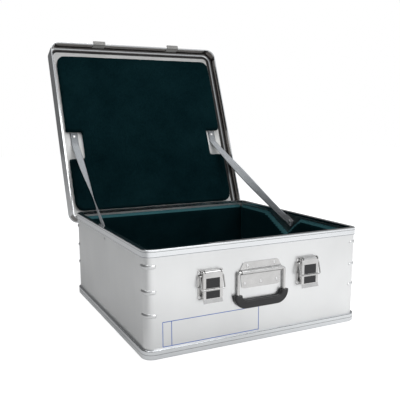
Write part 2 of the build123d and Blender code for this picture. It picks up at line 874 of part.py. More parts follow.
all_case_leaf_rivets = []
all_lid_leaf_rivets = []
for name, x in hinge_xs.items():
    parts[f"hinge_{name}_case_leaf"] = make_case_leaf(x)
    parts[f"hinge_{name}_lid_leaf"] = lid_place * make_lid_leaf(x)
    parts[f"hinge_{name}_pin"] = make_hinge_pin(x)
    all_case_leaf_rivets += case_leaf_rivets(x)
    all_lid_leaf_rivets += lid_leaf_rivets(x)
parts["hinge_case_rivets"] = rivets(all_case_leaf_rivets, hinge_leaf + sheet)
parts["hinge_lid_rivets"] = lid_place * rivets(all_lid_leaf_rivets, hinge_leaf + lid_wall)

all_catch_rivets = []
for name, x in latch_xs.items():
    parts[f"latch_{name}_base"] = make_latch_base(x)
    parts[f"latch_{name}_rivets"] = rivets(latch_rivet_places(x), latch_plate + sheet)
    parts[f"latch_{name}_pin"] = make_latch_pin(x)
    parts[f"latch_{name}_lever"] = make_latch_lever(x)
    parts[f"latch_{name}_inlays"] = make_latch_inlays(x)
    parts[f"latch_{name}_bail"] = make_latch_bail(x)
    parts[f"catch_{name}"] = lid_place * make_catch(x)
    all_catch_rivets += catch_rivet_places(x)
parts["catch_rivets"] = lid_place * rivets(all_catch_rivets, catch_sheet + lid_wall)

strap_right = make_strap_right()
parts["strap_right"] = strap_right
parts["strap_left"] = mirror(strap_right, Plane.YZ)
for name, side in sides.items():
    parts[f"strap_{name}_case_rivet"] = make_strap_case_rivet(side)
    parts[f"strap_{name}_lid_rivet"] = make_strap_lid_rivet(side)

os.makedirs("parts", exist_ok=True)
for name, part in parts.items():
    export_step(part, f"parts/{name}.step")
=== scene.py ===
# %% [markdown]
# # A lined aluminium transport case
# The case stands open: a folded sheet body with angle frames at its foot and rim, a lid that
# leans back on two webbing straps, two draw latches and a drop handle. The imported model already
# holds every rigid piece at its real place. Here each surface gets its finish, and the soft
# pieces (foam linings, pad, seal and straps) are made as the real ones are.

# %% Load the frame
import json
import math
import bmesh
import bpy
from mathutils import Matrix, Vector, noise


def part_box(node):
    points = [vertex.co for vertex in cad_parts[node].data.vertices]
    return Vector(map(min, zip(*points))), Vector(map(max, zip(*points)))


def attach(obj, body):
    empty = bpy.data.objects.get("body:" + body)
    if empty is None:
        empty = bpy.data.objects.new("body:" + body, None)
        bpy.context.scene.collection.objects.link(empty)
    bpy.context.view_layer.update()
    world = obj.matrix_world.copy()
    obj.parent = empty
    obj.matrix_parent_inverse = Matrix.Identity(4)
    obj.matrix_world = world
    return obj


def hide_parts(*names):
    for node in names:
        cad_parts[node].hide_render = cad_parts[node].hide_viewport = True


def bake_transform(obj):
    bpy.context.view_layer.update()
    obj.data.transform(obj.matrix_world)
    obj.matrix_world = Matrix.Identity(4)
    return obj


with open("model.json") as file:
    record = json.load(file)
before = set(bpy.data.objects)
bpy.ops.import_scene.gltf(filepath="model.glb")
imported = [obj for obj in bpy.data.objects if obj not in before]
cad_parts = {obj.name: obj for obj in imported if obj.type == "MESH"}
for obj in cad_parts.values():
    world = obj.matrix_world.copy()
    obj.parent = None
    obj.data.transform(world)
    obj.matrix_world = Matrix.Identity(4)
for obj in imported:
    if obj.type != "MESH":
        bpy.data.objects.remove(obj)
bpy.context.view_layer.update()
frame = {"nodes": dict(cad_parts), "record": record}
nodes = frame["nodes"]
print("pieces in the frame:", len(nodes))

# %% [markdown]
# The lid is easiest to measure shut, when its edges lie along the axes. The joint says how far it
# swings, so one matrix carries a point of the shut lid to where it lies with the lid open.

# %% How the lid swings
lid_joint = next(joint for joint in frame["record"]["behaviour"]["joints"] if joint["name"] == "lid_hinge")
lid_pivot = Vector(lid_joint["pos_m"])
lid_swing = math.radians(lid_joint["range_deg"][1])
to_pivot = Matrix.Translation(lid_pivot)
open_lid = to_pivot @ Matrix.Rotation(-lid_swing, 4, "X") @ to_pivot.inverted()
shut_lid = open_lid.inverted()
print("the lid leans back", round(lid_joint["range_deg"][1], 1), "degrees")

# %% [markdown]
# ## Camera
# The camera stands a little to the left, about a metre and a half away and just above the case. It
# could be moved about until the picture looks right. Here its place and lens were worked out from
# the case's straight edges, which is quicker and more exact for an object with so many of them.

# %% Place the camera
camera_place = Vector((-0.716, -1.403, 0.531))
camera_yaw = math.radians(25.29)
camera_pitch = math.radians(10.0)
camera_roll = math.radians(-0.4)
camera_lens = 49.9
sensor_width = 36.0
camera_shift = (0.0294, 0.0503)

forward = Vector((math.sin(camera_yaw) * math.cos(camera_pitch),
                  math.cos(camera_yaw) * math.cos(camera_pitch), -math.sin(camera_pitch)))
level_right = Vector((math.cos(camera_yaw), -math.sin(camera_yaw), 0.0))
level_up = level_right.cross(forward)
right = level_right * math.cos(camera_roll) + level_up * math.sin(camera_roll)
up = level_up * math.cos(camera_roll) - level_right * math.sin(camera_roll)

camera_data = bpy.data.cameras.new("camera")
camera_data.lens = camera_lens
camera_data.sensor_width = sensor_width
camera_data.shift_x, camera_data.shift_y = camera_shift
camera = bpy.data.objects.new("camera", camera_data)
camera.matrix_world = Matrix((
    (right.x, up.x, -forward.x, camera_place.x),
    (right.y, up.y, -forward.y, camera_place.y),
    (right.z, up.z, -forward.z, camera_place.z),
    (0.0, 0.0, 0.0, 1.0),
))
bpy.context.scene.collection.objects.link(camera)
bpy.context.scene.camera = camera
bpy.context.scene.view_settings.view_transform = "Standard"
print("camera at", tuple(round(part, 3) for part in camera_place))

# %% [markdown]
# ## A short way to write materials
# Every finish below starts from the same shader and adds a few textures. These helpers keep the
# node code to one line per step. Textures read Object coordinates, which are metres here, so a
# noise scale of 1000 makes grains of about a millimetre.


# %% Helpers for materials
def start_material(name, color, metallic=0.0, roughness=0.5):
    """A new material, its tree and its shader, with the plain values set."""
    material = bpy.data.materials.new(name)
    material.use_nodes = True
    tree = material.node_tree
    shader = tree.nodes["Principled BSDF"]
    shader.inputs["Base Color"].default_value = (*color, 1.0)
    shader.inputs["Metallic"].default_value = metallic
    shader.inputs["Roughness"].default_value = roughness
    return material, tree, shader


def math_node(tree, operation, first, second=None, third=None):
    """One step of arithmetic. Each value is a plain number or the output of another node."""
    node = tree.nodes.new("ShaderNodeMath")
    node.operation = operation
    for socket, value in zip(node.inputs, (first, second, third)):
        if isinstance(value, (int, float)):
            socket.default_value = value
        elif value is not None:
            tree.links.new(value, socket)
    return node.outputs["Value"]


def split_axes(tree, place):
    """The X, Y and Z outputs of a position."""
    split = tree.nodes.new("ShaderNodeSeparateXYZ")
    tree.links.new(place, split.inputs["Vector"])
    return split.outputs


# %% [markdown]
# Noise gives a surface its grain. Two helpers make the noise and stretch it, and three put it to
# use: as a range of plain numbers, as a colour between two tones, and as a raised surface.


# %% Grain and what it drives
def stretched_space(tree, stretch):
    """Object coordinates, scaled along each axis."""
    place = tree.nodes.new("ShaderNodeTexCoord")
    mapping = tree.nodes.new("ShaderNodeMapping")
    mapping.inputs["Scale"].default_value = stretch
    tree.links.new(place.outputs["Object"], mapping.inputs["Vector"])
    return mapping.outputs["Vector"]


def grain(tree, scale, detail=3.0, roughness=0.6, stretch=(1.0, 1.0, 1.0)):
    """Noise from 0 to 1 at the given grains per metre."""
    texture = tree.nodes.new("ShaderNodeTexNoise")
    texture.inputs["Scale"].default_value = scale
    texture.inputs["Detail"].default_value = detail
    texture.inputs["Roughness"].default_value = roughness
    tree.links.new(stretched_space(tree, stretch), texture.inputs["Vector"])
    return texture.outputs["Fac"]


def remap(tree, value, low, high, from_low=0.35, from_high=0.65):
    """Spreads a value over a range of plain numbers."""
    node = tree.nodes.new("ShaderNodeMapRange")
    node.inputs["From Min"].default_value = from_low
    node.inputs["From Max"].default_value = from_high
    node.inputs["To Min"].default_value = low
    node.inputs["To Max"].default_value = high
    tree.links.new(value, node.inputs["Value"])
    return node.outputs["Result"]


def between(tree, value, dark, light, low=0.35, high=0.65):
    """A colour between two, picked by a value."""
    ramp = tree.nodes.new("ShaderNodeValToRGB")
    ramp.color_ramp.elements[0].position = low
    ramp.color_ramp.elements[0].color = (*dark, 1.0)
    ramp.color_ramp.elements[1].position = high
    ramp.color_ramp.elements[1].color = (*light, 1.0)
    tree.links.new(value, ramp.inputs["Fac"])
    return ramp.outputs["Color"]


def raise_surface(tree, shader, height, distance, strength=1.0, under=None):
    """Bump of a real height in metres, over another bump if one is given."""
    bump = tree.nodes.new("ShaderNodeBump")
    bump.inputs["Distance"].default_value = distance
    bump.inputs["Strength"].default_value = strength
    tree.links.new(height, bump.inputs["Height"])
    if under is not None:
        tree.links.new(under, bump.inputs["Normal"])
    tree.links.new(bump.outputs["Normal"], shader.inputs["Normal"])
    return bump.outputs["Normal"]


# %% [markdown]
# ## Aluminium
# The walls are mill-finish sheet: satin, with broad soft clouds left by rolling and handling, and
# a very fine grain. The frames are drawn sections, a little brighter and glossier, with drawing
# lines that run along them. Three separate materials could be built by hand. One function makes
# them all, because only their tone, gloss and direction of grain differ.


# %% Aluminium finishes
cloud_scale = 4.0
line_scale = 260.0


def aluminium(name, tone, cloud, stretch, line_height, rough):
    """A metal whose tone varies by the share cloud, with grain lines along the squeezed axes."""
    dark = tuple(channel * (1.0 - cloud) for channel in tone)
    light = tuple(min(channel * (1.0 + cloud), 1.0) for channel in tone)
    material, tree, shader = start_material(name, tone, 1.0, rough)
    clouds = grain(tree, cloud_scale, 3.0, 0.5)
    tree.links.new(between(tree, clouds, dark, light), shader.inputs["Base Color"])
    lines = grain(tree, line_scale, 2.0, 0.5, stretch)
    tree.links.new(remap(tree, lines, rough * 0.9, rough * 1.1), shader.inputs["Roughness"])
    raise_surface(tree, shader, lines, line_height)
    return material


up_and_down, side_to_side, round_case = (1.0, 1.0, 0.02), (0.02, 1.0, 1.0), (0.02, 0.02, 1.0)
sheet_metal = aluminium("sheet_aluminium", (0.74, 0.745, 0.745), 0.05, up_and_down, 0.0000015, 0.31)
drawn_metal = aluminium("drawn_aluminium", (0.76, 0.775, 0.79), 0.02, round_case, 0.000003, 0.17)
# The lid frame's darker tone is painted shade.
shaded_lid_metal = aluminium("lid_aluminium_painted_shade", (0.68, 0.69, 0.7), 0.03, side_to_side, 0.000003, 0.14)
print("aluminium finishes:", sheet_metal.name, drawn_metal.name, shaded_lid_metal.name)

# %% [markdown]
# The drawn frames are stepped, and a thin line of shade runs round the case under each step. It is
# painted: the lines could be cut into the mesh, but they are only a millimetre high. They lie at
# fixed heights, so a compare node on the height marks each one and darkens it as painted shade.


# %% Painted shade lines on the frames
def darken(material, share, tone):
    """Mixes a darker tone into a material's colour where share is 1."""
    tree = material.node_tree
    socket = tree.nodes["Principled BSDF"].inputs["Base Color"]
    mix = tree.nodes.new("ShaderNodeMix")
    mix.data_type = "RGBA"
    before = socket.links[0].from_socket
    tree.links.new(share, mix.inputs[0])
    tree.links.new(before, mix.inputs[6])
    mix.inputs[7].default_value = (*tone, 1.0)
    tree.links.new(mix.outputs[2], socket)


shade_line_heights = (0.0124, 0.0214, 0.2389, 0.2508)
shade_line_half = 0.0005
tree = drawn_metal.node_tree
place = tree.nodes.new("ShaderNodeTexCoord")
axes = split_axes(tree, place.outputs["Object"])
painted_shade_lines = 0.0
for height in shade_line_heights:
    here = math_node(tree, "COMPARE", axes["Z"], height, shade_line_half)
    painted_shade_lines = math_node(tree, "ADD", here, painted_shade_lines)
# Painted shade: a thin shadow line is darkened in at each step of the frames.
darken(drawn_metal, painted_shade_lines, (0.16, 0.17, 0.18))
print("grooves at", shade_line_heights)

# %% [markdown]
# The inside of the lid's skirt is painted darker than its outside, as painted shade. It could have a
# material slot of its own, but the lid frame is one mesh that isn't to be changed. So the painted
# shade is marked by its distance from the walls and its height, after a mapping node has turned the
# open lid back to its shut place. The distance is that of straight walls, so a small patch of this
# painted shade also falls on the outside of each rounded corner.

# %% Painted shade inside the skirt
rib_proud = 0.0025
skirt_middle = 0.0064
seal_level = 0.2545
bead_top = 0.2195
tree = shaded_lid_metal.node_tree
place = tree.nodes.new("ShaderNodeTexCoord")
back = tree.nodes.new("ShaderNodeMapping")
back.inputs["Rotation"].default_value = (lid_swing, 0.0, 0.0)
back.inputs["Location"].default_value = lid_pivot - Matrix.Rotation(lid_swing, 3, "X") @ lid_pivot
tree.links.new(place.outputs["Object"], back.inputs["Vector"])
axes = split_axes(tree, back.outputs["Vector"])
case_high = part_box("case_shell")[1]
past_walls = [
    math_node(tree, "SUBTRACT", math_node(tree, "ABSOLUTE", axes[name]), reach - rib_proud)
    for name, reach in zip(("X", "Y"), case_high)]
near_inside = math_node(tree, "LESS_THAN", math_node(tree, "MAXIMUM", *past_walls), skirt_middle)
below_seal = math_node(tree, "LESS_THAN", axes["Z"], seal_level)
above_bead = math_node(tree, "GREATER_THAN", axes["Z"], bead_top)
painted_skirt_shade = math_node(tree, "MULTIPLY", math_node(tree, "MULTIPLY", near_inside, below_seal), above_bead)
# Painted shade: the inside of the skirt is darkened where its shadow falls.
darken(shaded_lid_metal, painted_skirt_shade, (0.2, 0.185, 0.175))
print("skirt found inside", round(case_high[0], 4), round(case_high[1], 4))

# %% [markdown]
# The shell, the floor and the lid's panel are sheet, and the frames are drawn. The lid's frame has
# a finish of its own, glossier and darker, because it is darker in the photo than the frames of
# the case. Its darker tone is painted shade.

# %% Put the metals on
for node in ("case_shell", "case_floor", "lid_panel"):
    nodes[node].material_slots[0].material = sheet_metal
for node in ("case_bottom_frame", "case_rim_frame"):
    nodes[node].material_slots[0].material = drawn_metal
nodes["lid_frame"].material_slots[0].material = shaded_lid_metal
print("metals are on the shell, the floor, the frames and the lid")

# %% [markdown]
# ## Steel
# Latches, handle and hinges are stainless steel with a fine brushing across them. Real brushing is
# thousands of scratches. Noise squeezed along one axis gives the same streaks, and it drives the
# roughness and a very small bump together. The catches are the same steel, painted darker as
# painted shade, for they sit in the shade inside the lid's skirt.

# %% Steel finishes
steel, tree, shader = start_material("stainless_steel", (0.56, 0.555, 0.55), 1.0, 0.16)
brushing = grain(tree, 900.0, 2.0, 0.5, (0.05, 1.0, 1.0))
tree.links.new(remap(tree, brushing, 0.1, 0.24), shader.inputs["Roughness"])
tree.links.new(between(tree, grain(tree, 30.0), (0.53, 0.525, 0.52), (0.59, 0.585, 0.58)),
               shader.inputs["Base Color"])
raise_surface(tree, shader, brushing, 0.000003)

# Painted shade: the catches' steel is darkened for the shade of the skirt they sit in.
shaded_steel, tree, shader = start_material("catch_steel_painted_shade", (0.3, 0.295, 0.285), 1.0, 0.22)
streaks = grain(tree, 700.0, 2.0, 0.5, (0.05, 1.0, 1.0))
tree.links.new(remap(tree, streaks, 0.16, 0.3), shader.inputs["Roughness"])
print("steel finishes:", steel.name, shaded_steel.name)

# %% [markdown]
# ## Rivets, board and plastic
# The rivets are soft aluminium, a little blotchy where they were pressed. The lid's inner sheet is
# painted white. The grip is moulded black plastic with a fine sparked grain, and the inlays of the
# latches are a smoother black. Each finish is a plain shader with noise on its roughness, which is
# enough for pieces this small.

# %% Other rigid finishes
rivet_metal, tree, shader = start_material("rivet_aluminium", (0.74, 0.74, 0.74), 1.0, 0.3)
tree.links.new(remap(tree, grain(tree, 500.0), 0.22, 0.4), shader.inputs["Roughness"])

board_paint, tree, shader = start_material("white_board", (0.8, 0.8, 0.79), 0.0, 0.42)
tree.links.new(between(tree, grain(tree, 12.0), (0.76, 0.76, 0.75), (0.83, 0.83, 0.82)),
               shader.inputs["Base Color"])
raise_surface(tree, shader, grain(tree, 900.0), 0.00003)

grip_plastic, tree, shader = start_material("black_grip", (0.012, 0.012, 0.013), 0.0, 0.42)
tree.links.new(remap(tree, grain(tree, 60.0), 0.36, 0.5), shader.inputs["Roughness"])
raise_surface(tree, shader, grain(tree, 1600.0, 2.0), 0.00008)

inlay_plastic, tree, shader = start_material("black_inlay", (0.01, 0.01, 0.012), 0.0, 0.3)
tree.links.new(remap(tree, grain(tree, 120.0), 0.25, 0.4), shader.inputs["Roughness"])
print("rigid finishes:", rivet_metal.name, board_paint.name, grip_plastic.name, inlay_plastic.name)

# %% [markdown]
# The pieces of the frame have telling names, so a few words in them pick the finish.

# %% Put the finishes on
steel_words = ("bail", "bracket", "_base", "_pin", "_lever", "leaf")
dressed = 0
for name, node in nodes.items():
    finish = None
    if name.endswith(("_rivet", "_rivets")):
        finish = rivet_metal
    elif name.endswith("_inlays"):
        finish = inlay_plastic
    elif name in ("catch_left", "catch_right"):
        finish = shaded_steel
    elif any(word in name for word in steel_words):
        finish = steel
    if finish is not None:
        node.material_slots[0].material = finish
        dressed += 1
nodes["handle_grip"].material_slots[0].material = grip_plastic
nodes["lid_inner_sheet"].material_slots[0].material = board_paint
print("pieces given a finish by name:", dressed)

# %% [markdown]
# ## Rivets
# The frame marks each rivet with a plain coned head. A set rivet has a low dome. Domes could be
# modelled one by one, but there are dozens and they are all alike, so a node tree makes one and
# puts a copy at every place. The places and directions are read from the plain rivets: one loose
# island of their mesh is one rivet.


# %% Find the rivets
def rivet_places(name, direction, into_lid):
    """Middle of each rivet's head seat, from the islands of a node's mesh."""
    source = bmesh.new()
    source.from_mesh(nodes[name].data)
    if into_lid:
        source.transform(shut_lid)
    bmesh.ops.remove_doubles(source, verts=source.verts, dist=1e-5)
    waiting = set(source.verts)
    places = []
    while waiting:
        island = [waiting.pop()]
        for vertex in island:
            for edge in vertex.link_edges:
                other = edge.other_vert(vertex)
                if other in waiting:
                    waiting.remove(other)
                    island.append(other)
        low = Vector(min(vertex.co[axis] for vertex in island) for axis in range(3))
        high = Vector(max(vertex.co[axis] for vertex in island) for axis in range(3))
        reach = Vector(abs(part) for part in direction).dot(high - low) / 2
        places.append((low + high) / 2 + direction * reach)
    source.free()
    turned = open_lid if into_lid else Matrix()
    return [(turned @ place, turned.to_3x3() @ direction) for place in places]


small_head = (0.0042, 0.0015, 0.0034)
large_head = (0.0055, 0.0020, 0.0050)
to_front, to_back, to_down = Vector((0, -1, 0)), Vector((0, 1, 0)), Vector((0, 0, -1))
to_left, to_right = Vector((-1, 0, 0)), Vector((1, 0, 0))
rivet_groups = [
    ("handle_rivets", [to_front], small_head, "case"),
    ("latch_left_rivets", [to_front], small_head, "case"),
    ("latch_right_rivets", [to_front], small_head, "case"),
    ("hinge_case_rivets", [to_back], small_head, "case"),
    ("catch_rivets", [to_front], small_head, "lid"),
    ("hinge_lid_rivets", [to_back], small_head, "lid"),
    ("strap_left_case_rivet", [to_left, to_right], large_head, "case"),
    ("strap_right_case_rivet", [to_left, to_right], large_head, "case"),
    ("strap_left_lid_rivet", [to_down], large_head, "lid"),
    ("strap_right_lid_rivet", [to_down], large_head, "lid"),
]
print("groups of rivets:", len(rivet_groups))

# %% [markdown]
# The tree shapes one head from a ball: its upper half is flattened to the dome's rise, and its
# lower half is drawn in to half the radius and pushed down as the shank. Then it puts one on every
# point, turned to the point's own direction. Three named inputs give the sizes.

# %% Rivet tree
rivet_tree = bpy.data.node_groups.new("domed rivets", "GeometryNodeTree")
rivet_tree.interface.new_socket(name="Geometry", in_out="INPUT", socket_type="NodeSocketGeometry")
for label in ("Head Radius", "Head Rise", "Shank Depth"):
    rivet_tree.interface.new_socket(name=label, in_out="INPUT", socket_type="NodeSocketFloat")
rivet_tree.interface.new_socket(name="Geometry", in_out="OUTPUT", socket_type="NodeSocketGeometry")
link = rivet_tree.links.new
shank_narrowing = 0.5
just_below = -0.001
start = rivet_tree.nodes.new("NodeGroupInput")
end = rivet_tree.nodes.new("NodeGroupOutput")
ball = rivet_tree.nodes.new("GeometryNodeMeshUVSphere")
ball.inputs["Segments"].default_value = 20
ball.inputs["Rings"].default_value = 10
spot = rivet_tree.nodes.new("GeometryNodeInputPosition")
axes = split_axes(rivet_tree, spot.outputs["Position"])
below = math_node(rivet_tree, "LESS_THAN", axes["Z"], just_below)
above = math_node(rivet_tree, "SUBTRACT", 1.0, below)
narrow = math_node(rivet_tree, "SUBTRACT", 1.0, math_node(rivet_tree, "MULTIPLY", below, shank_narrowing))
wide = math_node(rivet_tree, "MULTIPLY", start.outputs["Head Radius"], narrow)
risen = math_node(rivet_tree, "MULTIPLY", axes["Z"], start.outputs["Head Rise"])
dome_z = math_node(rivet_tree, "MULTIPLY", risen, above)
shank_z = math_node(rivet_tree, "MULTIPLY", below, start.outputs["Shank Depth"])
shaped = rivet_tree.nodes.new("ShaderNodeCombineXYZ")
link(math_node(rivet_tree, "MULTIPLY", axes["X"], wide), shaped.inputs["X"])
link(math_node(rivet_tree, "MULTIPLY", axes["Y"], wide), shaped.inputs["Y"])
link(math_node(rivet_tree, "SUBTRACT", dome_z, shank_z), shaped.inputs["Z"])
form = rivet_tree.nodes.new("GeometryNodeSetPosition")
link(ball.outputs["Mesh"], form.inputs["Geometry"])
link(shaped.outputs["Vector"], form.inputs["Position"])
aim = rivet_tree.nodes.new("GeometryNodeInputNamedAttribute")
aim.data_type = "FLOAT_VECTOR"
aim.inputs["Name"].default_value = "aim"
turn = rivet_tree.nodes.new("FunctionNodeAlignRotationToVector")
turn.axis = "Z"
link(aim.outputs["Attribute"], turn.inputs["Vector"])
copies = rivet_tree.nodes.new("GeometryNodeInstanceOnPoints")
link(start.outputs["Geometry"], copies.inputs["Points"])
link(form.outputs["Geometry"], copies.inputs["Instance"])
link(turn.outputs["Rotation"], copies.inputs["Rotation"])
real = rivet_tree.nodes.new("GeometryNodeRealizeInstances")
smooth = rivet_tree.nodes.new("GeometryNodeSetShadeSmooth")
paint = rivet_tree.nodes.new("GeometryNodeSetMaterial")
paint.inputs["Material"].default_value = rivet_metal
link(copies.outputs["Instances"], real.inputs["Geometry"])
link(real.outputs["Geometry"], smooth.inputs["Geometry"])
link(smooth.outputs["Geometry"], paint.inputs["Geometry"])
link(paint.outputs["Geometry"], end.inputs["Geometry"])
print("nodes in the rivet tree:", len(rivet_tree.nodes))

# %% [markdown]
# Each group of rivets becomes one mesh, because a group rides on one body. The points carry the
# direction as an attribute, which the tree reads. The tree's sizes are set by each input's
# identifier, before anything looks at the result.


# %% Set the rivets
def set_rivets(name, directions, head, body):
    """Domes for one group of rivets, in the place of its plain node."""
    radius, rise, depth = head
    seats = []
    for direction in directions:
        for place, toward in rivet_places(name, direction, body == "lid"):
            seats.append((place - toward * rise, toward))
    points = bpy.data.meshes.new(name + "_points")
    points.from_pydata([tuple(place) for place, toward in seats], [], [])
    aims = points.attributes.new("aim", "FLOAT_VECTOR", "POINT")
    for number, (place, toward) in enumerate(seats):
        aims.data[number].vector = toward
    holder = bpy.data.objects.new(name + "_holder", points)
    bpy.context.scene.collection.objects.link(holder)
    maker = holder.modifiers.new("rivets", "NODES")
    maker.node_group = rivet_tree
    sizes = {"Head Radius": radius, "Head Rise": rise, "Shank Depth": depth}
    for item in rivet_tree.interface.items_tree:
        if item.name in sizes:
            maker[item.identifier] = sizes[item.name]
    graph = bpy.context.evaluated_depsgraph_get()
    mesh = bpy.data.meshes.new_from_object(holder.evaluated_get(graph))
    bpy.data.objects.remove(holder)
    if head == large_head:
        mesh.materials[0] = steel
    piece = bpy.data.objects.new(name + "_domed", mesh)
    bpy.context.scene.collection.objects.link(piece)
    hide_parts(name)
    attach(piece, body)
    return len(seats)


rivet_count = sum(set_rivets(*group) for group in rivet_groups)
print("domed rivets:", rivet_count)

# %% [markdown]
# ## Felted foam
# The linings are foam with a dark blue-green felt face. Felt has no direction: short fibres lie
# every way, the nap catches light at its edges, and the dye is a little uneven. Sheen gives the
# lit nap, and four sizes of noise give the dye, the tufts, the flecks and the fibres.

# %% Felt
felt, tree, shader = start_material("dark_green_felt", (0.002, 0.009, 0.011), 0.0, 0.95)
dye = grain(tree, 9.0, 3.0, 0.6)
fleck = grain(tree, 420.0, 4.0, 0.75)
blend_node = tree.nodes.new("ShaderNodeMix")
blend_node.data_type = "FLOAT"
blend_node.inputs["Factor"].default_value = 0.72
tree.links.new(dye, blend_node.inputs["A"])
tree.links.new(fleck, blend_node.inputs["B"])
tree.links.new(between(tree, blend_node.outputs["Result"], (0.0008, 0.005, 0.0065), (0.004, 0.0165, 0.0195),
                       0.4, 0.62), shader.inputs["Base Color"])
shader.inputs["Sheen Weight"].default_value = 0.09
shader.inputs["Sheen Roughness"].default_value = 0.45
shader.inputs["Sheen Tint"].default_value = (0.1, 0.5, 0.6, 1.0)
shader.inputs["Specular IOR Level"].default_value = 0.0
fibres = raise_surface(tree, shader, grain(tree, 1300.0, 4.0, 0.8), 0.0004)
raise_surface(tree, shader, grain(tree, 180.0, 3.0, 0.6), 0.0008, 0.8, fibres)
print("felt nodes:", len(tree.nodes))

# %% [markdown]
# The linings' top edges are cut at a slant, and there the foam under the felt shows. It is a teal
# foam with open pores. Every face of the wall linings above the notches' foot that faces upward gets
# it, so its light tone is also painted light from above. Fine noise gives the pores, as a change of
# tone and as small pits.

# %% Cut foam, with painted light from above
lit_cut_foam, tree, shader = start_material("cut_teal_foam_painted_light", (0.03, 0.1, 0.115), 0.0, 0.9)
shader.inputs["Specular IOR Level"].default_value = 0.1
pores = grain(tree, 700.0, 3.0, 0.7)
tree.links.new(between(tree, pores, (0.018, 0.07, 0.08), (0.042, 0.125, 0.14)), shader.inputs["Base Color"])
raise_surface(tree, shader, pores, 0.0004)
print("cut foam nodes:", len(tree.nodes))

# %% [markdown]
# A cut foam panel has soft edges and is never quite flat. It could be blown up as cloth is, but
# firm foam keeps its cut shape. So each panel starts as a merged copy of its solid, is remeshed to
# even small faces, relaxed so that its edges round over, and then each point is moved a fraction
# of a millimetre by noise.


# %% Soft panels
notch_foot = 0.17
upward_limit = 0.3
broad_wave, broad_share = 22.0, 0.6
fine_wave, fine_share = 75.0, 0.25


def soft_panel(node_name, voxel, relax, swell):
    """A soft copy of a foam solid. Upward faces above the notches' foot get the lighter cut foam, partly
    painted light from above.
    """
    source = nodes[node_name]
    shell = bmesh.new()
    shell.from_mesh(source.data)
    bmesh.ops.remove_doubles(shell, verts=shell.verts, dist=1e-5)
    mesh = bpy.data.meshes.new(node_name + "_felt")
    shell.to_mesh(mesh)
    shell.free()
    panel = bpy.data.objects.new(node_name + "_felt", mesh)
    bpy.context.scene.collection.objects.link(panel)
    remesh = panel.modifiers.new("even faces", "REMESH")
    remesh.mode = "VOXEL"
    remesh.voxel_size = voxel
    remesh.use_smooth_shade = True
    soften = panel.modifiers.new("round edges", "SMOOTH")
    soften.factor = 0.5
    soften.iterations = relax
    graph = bpy.context.evaluated_depsgraph_get()
    made = bpy.data.meshes.new_from_object(panel.evaluated_get(graph))
    panel.modifiers.clear()
    panel.data = made
    for vertex in made.vertices:
        at = vertex.co
        lift = noise.noise(at * broad_wave) * broad_share + noise.noise(at * fine_wave) * fine_share
        vertex.co = at + vertex.normal * swell * lift
    made.materials.clear()
    made.materials.append(felt)
    made.materials.append(lit_cut_foam)
    for face in made.polygons:
        # Painted light: faces that point upward get the lighter teal, as if lit from above.
        faces_up = face.normal.z > upward_limit and face.center.z > notch_foot
        face.material_index = 1 if faces_up and node_name not in ("lid_pad", "liner_floor") else 0
    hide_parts(node_name)
    return panel


felt_voxel = 0.0055
case_swell, pad_swell = 0.0005, 0.0009
for node_name in ("liner_floor", "liner_front", "liner_back", "liner_left", "liner_right"):
    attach(soft_panel(node_name, felt_voxel, 3, case_swell), "case")
lid_pad = soft_panel("lid_pad", felt_voxel, 4, pad_swell)
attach(lid_pad, "lid")
print("lid pad faces:", len(lid_pad.data.polygons))

# %% [markdown]
# ## Seal
# The seal is one length of black rubber laid in the lid's channel, with a crowned face that the
# rim presses into. It follows a rounded rectangle, so a node tree sweeps its section round one.

# %% Rubber
rubber, tree, shader = start_material("seal_rubber", (0.008, 0.008, 0.008), 0.0, 0.55)
tree.links.new(remap(tree, grain(tree, 200.0), 0.45, 0.65), shader.inputs["Roughness"])
raise_surface(tree, shader, grain(tree, 700.0), 0.00005)
print("rubber:", rubber.name)

# %% [markdown]
# A node tree that makes its mesh from nothing needs an empty object to run on. These helpers make
# the tree, close it with its material, and run it with its sizes set by identifier.


# %% Helpers for a node tree
def new_tree(name, labels):
    """An empty geometry node tree with named float inputs, and its two end nodes."""
    tree = bpy.data.node_groups.new(name, "GeometryNodeTree")
    for label in labels:
        tree.interface.new_socket(name=label, in_out="INPUT", socket_type="NodeSocketFloat")
    tree.interface.new_socket(name="Geometry", in_out="OUTPUT", socket_type="NodeSocketGeometry")
    return tree, tree.nodes.new("NodeGroupInput"), tree.nodes.new("NodeGroupOutput")


def run_tree(tree, name, values):
    """Runs a node tree on an empty mesh and keeps the result as a plain mesh object."""
    holder = bpy.data.objects.new(name + "_holder", bpy.data.meshes.new(name + "_holder"))
    bpy.context.scene.collection.objects.link(holder)
    maker = holder.modifiers.new("maker", "NODES")
    maker.node_group = tree
    for item in tree.interface.items_tree:
        if item.name in values:
            maker[item.identifier] = values[item.name]
    graph = bpy.context.evaluated_depsgraph_get()
    mesh = bpy.data.meshes.new_from_object(holder.evaluated_get(graph))
    bpy.data.objects.remove(holder)
    piece = bpy.data.objects.new(name, mesh)
    bpy.context.scene.collection.objects.link(piece)
    return piece


def end_tree(tree, geometry, material, end):
    """Closes a tree: makes instances real and sets the material."""
    real = tree.nodes.new("GeometryNodeRealizeInstances")
    paint = tree.nodes.new("GeometryNodeSetMaterial")
    paint.inputs["Material"].default_value = material
    tree.links.new(geometry, real.inputs["Geometry"])
    tree.links.new(real.outputs["Geometry"], paint.inputs["Geometry"])
    tree.links.new(paint.outputs["Geometry"], end.inputs["Geometry"])


def box_shut(name):
    """Lowest and highest corner of a lid node as it lies with the lid shut."""
    points = [shut_lid @ vertex.co for vertex in nodes[name].data.vertices]
    low = Vector(min(point[axis] for point in points) for axis in range(3))
    high = Vector(max(point[axis] for point in points) for axis in range(3))
    return low, high


# %% [markdown]
# The seal's box with the lid shut gives its length, width and height. An oval section runs round a
# rounded rectangle, and the result is carried to where the open lid holds it.

